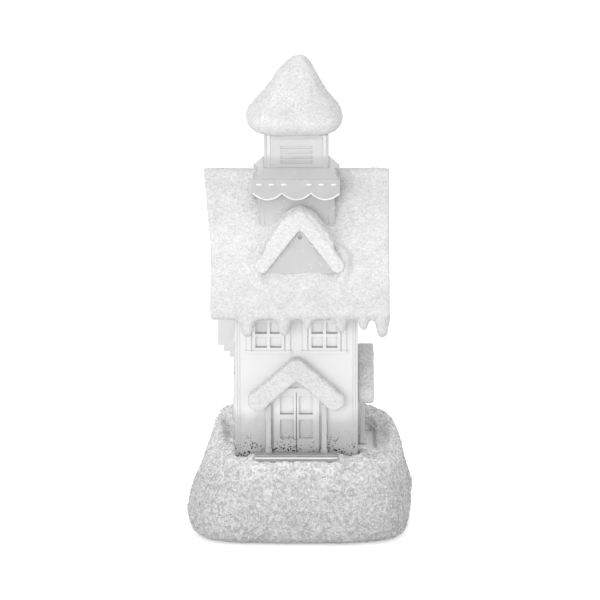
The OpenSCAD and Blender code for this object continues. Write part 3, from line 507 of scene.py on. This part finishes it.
panes = {
    "middle": -1.2,             # house from the middle of the mound, all in mm
    "wall": 24,                 # wall's face from the middle of the house
    "width": 4.5,
    "height": 4.4,
    "bar": 1.2,
    "sunk": 0.6,                # pane behind the wall's face
    "proud": 0.75,              # sill in front of it
    "rise": 0.36,
    "lip": 0.12,                # height of the sill's front edge
    "bend": (0.2, 0.8),         # where its slope changes: place in front of the wall, share of the rise
    "gap": 0.03,                # between a sill and what is round it
    # wall's turn in degrees, place along it, height of the sill, columns and rows
    "windows": [(0, -11, 76.2, 2, 3), (0, 11, 76.2, 2, 3), (180, -11, 76.2, 2, 3), (180, 11, 76.2, 2, 3),
                (180, 0, 47.7, 3, 4), (270, -11, 47.7, 2, 3), (270, 11, 47.7, 2, 3), (270, 0, 105, 2, 2),
                (90, 0, 105, 2, 2)],
    # wall's turn, place along it, height and width of the foot of each glazed door panel
    "doors": [(0, -3.7, 50.5, 5.4), (0, 3.7, 50.5, 5.4), (90, -3.7, 50.5, 5.4), (90, 3.7, 50.5, 5.4)],
}


# Place in metres, from the place along a wall, in front of its face and above the table
def onWall(turn, along, out, up):
    angle = math.radians(turn)
    x, y = along, -panes["wall"] - out
    return Vector((x * math.cos(angle) - y * math.sin(angle) + panes["middle"],
                   x * math.sin(angle) + y * math.cos(angle), up)) * mm


def addPiece(name, points, faces, finish, slot, smooth=False):
    mesh = bpy.data.meshes.new(name)
    mesh.from_pydata(points, [], faces)
    mesh.polygons.foreach_set("use_smooth", [smooth] * len(mesh.polygons))
    mesh.materials.append(materials[finish])
    obj = bpy.data.objects.new(name, mesh)
    scene.collection.objects.link(obj)
    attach(obj, "house")
    return obj


def makePaneShadeLines():
    spots = []
    step = panes["width"] + panes["bar"]
    for turn, middle, up, columns, rows in panes["windows"]:
        for i in range(columns):
            for k in range(rows):
                along = middle + (i - (columns - 1) / 2) * step
                foot = up + panes["bar"] + k * (panes["height"] + panes["bar"])
                spots.append((turn, along, foot, panes["width"]))
    spots += panes["doors"]
    gap, proud, rise = panes["gap"], panes["proud"], panes["rise"]
    back = -panes["sunk"] + gap
    bendOut, bendShare = panes["bend"]
    section = [(back, gap), (proud, gap), (proud, panes["lip"]), (bendOut, rise * bendShare), (back, rise)]
    count = len(section)
    points, faces = [], []
    for turn, along, foot, width in spots:
        start = len(points)
        for side in (-1, 1):
            end = along + side * (width / 2 - gap)
            points += [onWall(turn, end, out, foot + up) for out, up in section]
        faces.append(tuple(start + i for i in range(count)))
        faces.append(tuple(start + 2 * count - 1 - i for i in range(count)))
        for i in range(count):
            j = (i + 1) % count
            faces.append((start + i, start + count + i, start + count + j, start + j))
    addPiece("pane_shade_lines", points, faces, "sill", "clear_acrylic")
    return len(spots)


print("pane sills set in:", makePaneShadeLines())


# painted highlights: white dashes under the skirt's eave and a white rolled edge on its scallops, where light
# glints

skirt = {
    "half": 17,
    "eave": 142.5,
    "dash": (1.1, 0.45),        # half length and radius
    # place along a dash as a share of its half length, and share of its radius there
    "dashShape": [(-1, 0.3), (-0.85, 0.75), (-0.4, 1), (0.4, 1), (0.85, 0.75), (1, 0.3)],
    "dashDrop": 1.5,
    "dashOut": 0.15,
    "dashes": 7,                # the middle one is missing
    "edge": 0.3,
    "drop": 4.9,                # from the eave to the top of the scallops
    "scallop": 2.6,
    "scallops": 3,
    "halfSteps": 6,             # in one scallop
    "sides": 8,
}


def tubeAlong(line, radius, sides, points, faces):
    start = len(points)
    count = len(line)
    for i, place in enumerate(line):
        ahead = (line[min(i + 1, count - 1)] - line[max(i - 1, 0)]).normalized()
        across = ahead.cross(Vector((0, 0, 1)))
        across = across.normalized() if across.length > 0.01 else Vector((1, 0, 0))
        over = across.cross(ahead)
        r = radius[i] if isinstance(radius, list) else radius
        for k in range(sides):
            turn = math.tau * k / sides
            points.append(place + (across * math.cos(turn) + over * math.sin(turn)) * r)
    joinRows(start, count, sides, faces)


def loft(rows, points, faces):
    start = len(points)
    for row in rows:
        points += row
    joinRows(start, len(rows), len(rows[0]), faces)


# Faces between closed rows of points, and over the first and the last row
def joinRows(start, rows, count, faces):
    for i in range(rows - 1):
        for k in range(count):
            a, b = start + i * count + k, start + i * count + (k + 1) % count
            faces.append((a, b, b + count, a + count))
    faces.append(tuple(start + k for k in reversed(range(count))))
    faces.append(tuple(start + (rows - 1) * count + k for k in range(count)))


def makeSkirtHighlights():
    points, faces = [], []
    half, reach = skirt["half"], skirt["half"] - panes["wall"]
    long, thick = skirt["dash"]
    lobe = 2 * half / skirt["scallops"]
    for turn in (0, 180):
        for k in range(skirt["dashes"]):
            along = (k - (skirt["dashes"] - 1) / 2) * 2 * half / skirt["dashes"]
            if along == 0:
                continue
            up = skirt["eave"] - skirt["dashDrop"]
            line = [onWall(turn, along + u * long, reach + skirt["dashOut"], up) for u, w in skirt["dashShape"]]
            tubeAlong(line, [thick * mm * w for u, w in skirt["dashShape"]], skirt["sides"], points, faces)
        for k in range(skirt["scallops"]):
            line = []
            for i in range(2 * skirt["halfSteps"] + 1):
                u = i / skirt["halfSteps"] - 1
                sag = skirt["scallop"] * (1 - u * u)
                along = (k - (skirt["scallops"] - 1) / 2 + u / 2) * lobe
                line.append(onWall(turn, along, reach, skirt["eave"] - skirt["drop"] - sag))
            tubeAlong(line, skirt["edge"] * mm, skirt["sides"], points, faces)
    addPiece("skirt_highlights", points, faces, "pearl", "frosted_acrylic", True)


makeSkirtHighlights()
print("skirt trimmed")


# painted reflections: fine lines that run up beside the corners of the walls and the tower, where the clear
# corners catch light

edges = {
    # half width, places of the lines along it, foot and top
    "walls": (24, (22.2, 23.2), 36, 100.5),
    "stage": (15, (12.5, 14.3), 125, 139),
    "belfry": (12.5, (10.3, 11.8), 147.2, 159.2),
    "radius": 0.13,
    "sides": 6,
    "steps": 4,
}


def makeEdgeReflections():
    points, faces = [], []
    count = edges["steps"]
    for key in ("walls", "stage", "belfry"):
        half, places, foot, top = edges[key]
        out = half - panes["wall"]
        for turn in (0, 90, 180, 270):
            for along in [side * place for side in (-1, 1) for place in places]:
                line = [onWall(turn, along, out, foot + (top - foot) * i / count) for i in range(count + 1)]
                tubeAlong(line, edges["radius"] * mm, edges["sides"], points, faces)
    addPiece("edge_reflections", points, faces, "line", "clear_acrylic", True)


makeEdgeReflections()


# porch posts, standing on the upper tread of both steps

posts = {
    "along": 10.9,
    "out": 2.1,
    # height and half width, from the foot block up the shaft
    "profile": [(35.5, 1.215), (35.8, 1.35), (37, 1.35), (37.5, 1), (45.5, 0.94), (55.2, 0.94), (55.5, 0.85)],
    "flat": 0.7,                # of the half width, between the cut corners
}


def makePosts():
    points, faces = [], []
    rows = posts["profile"]
    for turn in (0, 90):
        for along in (-posts["along"], posts["along"]):
            start = len(points)
            for height, half in rows:
                cut = half * posts["flat"]
                corners = [(cut, half), (half, cut), (half, -cut), (cut, -half),
                           (-cut, -half), (-half, -cut), (-half, cut), (-cut, half)]
                points += [onWall(turn, along + x, posts["out"] - y, height) for x, y in corners]
            count = len(corners)
            for i in range(len(rows) - 1):
                for k in range(count):
                    a, b = start + i * count + k, start + i * count + (k + 1) % count
                    faces.append((a, a + count, b + count, b))
            faces.append(tuple(start + k for k in range(count)))
            faces.append(tuple(start + (len(rows) - 1) * count + k for k in reversed(range(count))))
    addPiece("porch_posts", points, faces, "post", "clear_acrylic")


makePosts()
print("edge lines and porch posts made")


# lines along the edges of both steps, white beads and dark grooves of painted shade, and snow blown against
# their foot

# points and faces that go into a snow piece
banks = {node: ([], []) for node in ("snow_base", "roof", "front_dormer_snow", "rear_dormer_snow")}

steps = {
    "half": 16.8,
    "reach": 7,
    "top": 35.5,
    "line": 0.97,               # length of the lines, as a share of the step's
    "bead": (1.0, 0.3),         # drop from the top, and radius
    "grooves": ((0.1, 0.27), (1.7, 0.27)),
    "lineSteps": 16,
    "lineSides": 8,
    # wall's turn: section of the drift, each corner as its distance from the step's front and its height
    "drift": {0: ((-0.2, 34.1), (1, 33), (2.1, 30), (3.3, 24.3), (2.6, 21.5), (-0.2, 28)),
              90: ((-0.2, 34.6), (1.5, 35.2), (4, 35.6), (5.6, 34.8), (5, 32), (-0.2, 31.2))},
    "past": 2.5,                # how far the drift runs past the step's ends
    "dive": 5,                  # how deep its ends dive into the mound
    "wave": (0.45, 2.5),        # height and length of its waves
    "halfSteps": 30,
    # snow over both ends of a step: radius, place beyond the step, run from the wall, height and fall
    "ends": {"radius": 1.7, "beyond": 0.4, "from": 0.4, "run": 6, "height": 34.1, "fall": 2.6, "steps": 12,
             "sides": 14},
}


def makeStepLines():
    beads, grooves = ([], []), ([], [])
    count = steps["lineSteps"]
    for turn in (0, 90):
        along = [steps["half"] * (2 * i / count - 1) for i in range(count + 1)]
        for (drop, radius), piece in [(steps["bead"], beads)] + [(cut, grooves) for cut in steps["grooves"]]:
            line = [onWall(turn, steps["line"] * x, steps["reach"], steps["top"] - drop) for x in along]
            tubeAlong(line, radius * mm, steps["lineSides"], *piece)
    addPiece("step_beads", *beads, "pearl", "clear_acrylic", True)
    addPiece("step_groove_shade", *grooves, "sill", "clear_acrylic", True)


def bankStep(turn):
    high, length = steps["wave"]
    count = steps["halfSteps"]
    rows = []
    for i in range(2 * count + 1):
        x = (steps["half"] + steps["past"]) * (i / count - 1)
        sink = steps["dive"] * max(0, abs(i / count - 1) * 5 - 4) ** 2      # only the last fifth
        row = []
        for ahead, height in steps["drift"][turn]:
            wobble = high * noise.noise(Vector((x / length, ahead, height / length)))
            row.append(onWall(turn, x, steps["reach"] + ahead + wobble, height + wobble - sink))
        rows.append(row)
    loft(rows, *banks["snow_base"])


def bankStepEnd(turn, side):
    end = steps["ends"]
    line, thick = [], []
    for i in range(end["steps"] + 1):
        u = i / end["steps"]
        wobble = noise.noise(Vector((u * 2.5, turn, side * 2.1)))
        along = side * (steps["half"] + end["beyond"] + 0.4 * wobble)
        line.append(onWall(turn, along, end["from"] + end["run"] * u, end["height"] - end["fall"] * u * u))
        taper = min(1, 0.5 + 2 * u, 0.4 + 2 * (1 - u))
        thick.append(end["radius"] * mm * (1 + 0.15 * wobble) * taper)
    tubeAlong(line, thick, end["sides"], *banks["snow_base"])


# snow that closes the seam between the walls and the mound

seam = {
    "out": 0.75,
    "radius": 1.25,
    "lift": 0.1,
    "spacing": 1.2,
    "sides": 12,
    "feel": (1.6, 80),          # the mound's height is felt this much farther out, from this height down
    "noMound": 33,              # height where nothing is felt
    "waves": 4,                 # length
    "sway": (0.6, 0.2, 0.35),   # what they move: height, place in front of the wall and share of the radius
    # wall's turn, and the stretches of it that aren't taken by a step
    "runs": [(0, -25, -18.5), (0, 18.5, 25), (90, -25, -18.5), (90, 18.5, 25), (180, -25, 25),
             (270, -25, 25)],
}


def makeSeam():
    mesh = nodes["snow_base"].data
    ground = BVHTree.FromPolygons([v.co for v in mesh.vertices], [tuple(p.vertices) for p in mesh.polygons])
    farther, above = seam["feel"]
    swayUp, swayOut, swayRadius = seam["sway"]
    for turn, start, end in seam["runs"]:
        count = max(6, round((end - start) / seam["spacing"]))
        line, thick = [], []
        for i in range(count + 1):
            along = start + (end - start) * i / count
            hit = ground.ray_cast(onWall(turn, along, seam["out"] + farther, above), Vector((0, 0, -1)))[0]
            wobble = noise.noise(Vector((along / seam["waves"], turn, 3.7)))
            height = (hit.z / mm if hit else seam["noMound"]) + seam["lift"] + swayUp * wobble
            line.append(onWall(turn, along, seam["out"] + swayOut * wobble, height))
            thick.append(seam["radius"] * mm * (1 + swayRadius * wobble))
        tubeAlong(line, thick, seam["sides"], *banks["snow_base"])


# snow that rounds the top of each dormer and fills the valleys between it and the roof

valleys = {
    "offset": 1.4,              # dormers from the middle of the house
    # down one valley: distance from the dormer's middle, from the ridge of the roof, height and radius
    "line": [(7.5, 14.2, 125.6, 1.2), (10, 16.2, 122.4, 1.8), (13.5, 19.2, 117.9, 2.2),
             (17, 22.4, 113.2, 2.6), (17.4, 25, 109.6, 2.8), (16.4, 27.4, 106, 2), (15, 29, 103, 1)],
    "lineSteps": 6,             # between two of these stops
    "lineSides": 14,
    "sway": (0.3, 0.2),         # of the height, and of the radius as a share
    # over one shoulder of the dormer: distance from its middle, height and radius
    "shoulder": [(1.1, 129.4, 2.7), (2.7, 128.7, 2.9), (4.5, 127.2, 3), (6.4, 124.8, 3), (8.4, 122, 3),
                 (10.6, 118.6, 2.9)],
    "reach": (15.5, 28.2),      # from the ridge to the front of the dormer
    "shoulderSteps": 8,
    "shoulderSides": 16,
}


def fillValley(turn, facing, side):
    stops, count = valleys["line"], valleys["lineSteps"]
    swayUp, swayRadius = valleys["sway"]
    line, thick = [], []
    for i in range(count * (len(stops) - 1) + 1):
        k = min(i // count, len(stops) - 2)
        u = i / count - k
        across, back, up, radius = (a + (b - a) * u for a, b in zip(stops[k], stops[k + 1]))
        wobble = noise.noise(Vector((i / 5, turn + 0.4, side)))
        along = (valleys["offset"] + side * across) * facing
        line.append(onWall(turn, along, back - panes["wall"], up + swayUp * wobble))
        thick.append(radius * mm * (1 + swayRadius * wobble))
    tubeAlong(line, thick, valleys["lineSides"], *banks["roof"])


def roundShoulder(turn, facing, side, node):
    near, far = valleys["reach"]
    count = valleys["shoulderSteps"]
    for across, up, radius in valleys["shoulder"]:
        along = (valleys["offset"] + side * across) * facing
        line = [onWall(turn, along, near + (far - near) * i / count - panes["wall"], up)
                for i in range(count + 1)]
        tubeAlong(line, radius * mm, valleys["shoulderSides"], *banks[node])


makeStepLines()
for turn in (0, 90):
    bankStep(turn)
    for side in (-1, 1):
        bankStepEnd(turn, side)
makeSeam()
for turn, facing, node in ((0, 1, "front_dormer_snow"), (180, -1, "rear_dormer_snow")):
    for side in (-1, 1):
        fillValley(turn, facing, side)
        roundShoulder(turn, facing, side, node)
print("steps, seam and valleys snowed in")


# snow

smallDrift = {"voxel": 0.6, "lump": 0.35, "lumpSize": 6, "smooth": 3, "finish": "roof", "slot": "roof_snow"}
snow = {
    "roof": dict(smallDrift, voxel=0.8, lump=0.5, lumpSize=9),
    "tower_cap": dict(smallDrift, voxel=0.7, lump=0.5, lumpSize=8, smooth=2),
    "front_dormer_snow": dict(smallDrift, smooth=6),
    "rear_dormer_snow": dict(smallDrift, smooth=6),
    "front_canopy": smallDrift,
    "side_canopy": smallDrift,
    "oriel_snow": dict(smallDrift, lump=0.3, lumpSize=5),
    "snow_base": dict(smallDrift, voxel=0.9, lump=0.6, lumpSize=11, finish="mound", slot="mound_snow"),
}
crumple = {
    "share": 0.45,              # of the lumps' height
    "finer": 2.7,               # times as fine as the lumps
    "shift": Vector((7, 3, 1)),
}


def remeshed(source, voxel, more=None):
    draft = source.data.copy()
    if more:
        bank = bpy.data.meshes.new("banks")
        bank.from_pydata(more[0], [], more[1])
        bm = bmesh.new()
        bm.from_mesh(draft)
        bm.from_mesh(bank)
        bm.to_mesh(draft)
        bm.free()
    obj = bpy.data.objects.new("draft", draft)
    scene.collection.objects.link(obj)
    mod = obj.modifiers.new("voxels", "REMESH")
    mod.mode = "VOXEL"
    mod.voxel_size = voxel
    mesh = bpy.data.meshes.new_from_object(obj.evaluated_get(bpy.context.evaluated_depsgraph_get()))
    bpy.data.objects.remove(obj)
    return mesh


middles = {node: (Vector(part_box(node)[0]) + Vector(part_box(node)[1])) / 2 for node in snow}

swell = {
    "moundSide": 1.5,
    "moundTop": 0.6,            # for what faces up more than this, and lies higher than this in metres
    "moundUp": 0.4,
    "moundFoot": 0.02,
    "roofSlope": (0.83, 0.56),  # outwards and up
    "roof": 1.3,
    "small": (1.2, 0.25),       # for what faces up, and for all
}


# How far a point of a snow piece is free to swell: 1 on the outside, 0 where it meets other pieces
def freedom(node, place, normal):
    out = place - middles[node]
    if node == "snow_base":
        flat = Vector((out.x, out.y, 0)).normalized()
        top = normal.z > swell["moundUp"] and place.z > swell["moundFoot"]
        free = normal.dot(flat) * swell["moundSide"] + (swell["moundTop"] if top else 0)
    elif node == "roof":
        outwards, up = swell["roofSlope"]
        free = normal.dot(Vector((0, math.copysign(1, out.y) * outwards, up))) * swell["roof"]
    else:
        facingUp, always = swell["small"]
        free = normal.z * facingUp + always
    return max(0.0, min(1.0, free))


def makeSnow(node, look):
    mesh = remeshed(nodes[node], look["voxel"] * mm, banks.get(node))
    bm = bmesh.new()
    bm.from_mesh(mesh)
    for again in range(look["smooth"]):
        bmesh.ops.smooth_vert(bm, verts=bm.verts, factor=0.5,
                              use_axis_x=True, use_axis_y=True, use_axis_z=True)
    bm.normal_update()
    size = look["lumpSize"] * mm
    moves = []
    for v in bm.verts:
        fine = noise.noise(v.co / size * crumple["finer"] + crumple["shift"])
        soft = noise.noise(v.co / size) + crumple["share"] * fine
        moves.append(v.normal * soft * look["lump"] * mm * freedom(node, v.co, v.normal))
    for v, move in zip(bm.verts, moves):
        v.co += move
    bm.to_mesh(mesh)
    bm.free()
    mesh.polygons.foreach_set("use_smooth", [True] * len(mesh.polygons))
    mesh.materials.clear()
    mesh.materials.append(materials[look["finish"]])
    obj = bpy.data.objects.new(node + "_drift", mesh)
    scene.collection.objects.link(obj)
    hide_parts(node)
    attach(obj, "house")
    return obj


drifts = {}
for node, look in snow.items():
    drifts[node] = makeSnow(node, look)
    print("snow made:", node, len(drifts[node].data.vertices))


# glitter slivers stuck into the snow

smallGlitter = {"count": 500, "length": (0.7, 1.5), "width": 0.26, "finish": "roofFlake", "slot": "roof_snow"}
glitter = {
    "snow_base": {"count": 12000, "length": (1.0, 2.3), "width": 0.34,
                  "finish": "moundFlake", "slot": "mound_snow"},
    "roof": dict(smallGlitter, count=6500, length=(0.8, 1.8), width=0.28),
    "tower_cap": dict(smallGlitter, count=1800, length=(0.8, 1.6)),
    "front_dormer_snow": smallGlitter,
    "rear_dormer_snow": smallGlitter,
    "front_canopy": smallGlitter,
    "side_canopy": smallGlitter,
    "oriel_snow": dict(smallGlitter, count=160, length=(0.7, 1.4)),
}
sliver = {
    "free": 0.2,                # sticks only where the snow is freer than this
    "lift": (-0.1, 0.5),        # how much its far end stands up
    "thick": 0.4,               # half of its far end, as a share of the width
    "firstSeed": 11,
}


def makeGlitter(node, look, seed):
    rng = random.Random(seed)
    mesh = drifts[node].data
    mesh.calc_loop_triangles()
    weights, spots = [], []
    for tri in mesh.loop_triangles:
        a, b, c = (mesh.vertices[i].co for i in tri.vertices)
        free = freedom(node, (a + b + c) / 3, tri.normal)
        if free > sliver["free"]:
            weights.append(tri.area * free)
            spots.append((a.copy(), b.copy(), c.copy(), tri.normal.copy()))
    points, faces = [], []
    for a, b, c, normal in rng.choices(spots, weights, k=look["count"]):
        u, v = sorted((rng.random(), rng.random()))
        centre = a * u + b * (v - u) + c * (1 - v)
        along = normal.orthogonal().normalized()
        across = normal.cross(along)
        turn = rng.uniform(0, math.tau)
        along, across = (along * math.cos(turn) + across * math.sin(turn),
                         across * math.cos(turn) - along * math.sin(turn))
        lift = rng.uniform(*sliver["lift"])
        along = (along + normal * lift).normalized()
        half = along * rng.uniform(*look["length"]) / 2 * mm
        wide = across * look["width"] / 2 * mm
        thick = normal * look["width"] * sliver["thick"] * mm
        start = len(points)
        points += [centre - half + wide, centre - half - wide, centre + half + thick, centre + half - thick]
        faces += [(start, start + 2, start + 1), (start, start + 1, start + 3),
                  (start, start + 3, start + 2), (start + 1, start + 2, start + 3)]
    data = bpy.data.meshes.new(node + "_glitter")
    data.from_pydata(points, [], faces)
    data.materials.append(materials[look["finish"]])
    obj = bpy.data.objects.new(node + "_glitter", data)
    scene.collection.objects.link(obj)
    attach(obj, "house")


for seed, (node, look) in enumerate(glitter.items()):
    makeGlitter(node, look, seed + sliver["firstSeed"])
print("glitter stuck on")
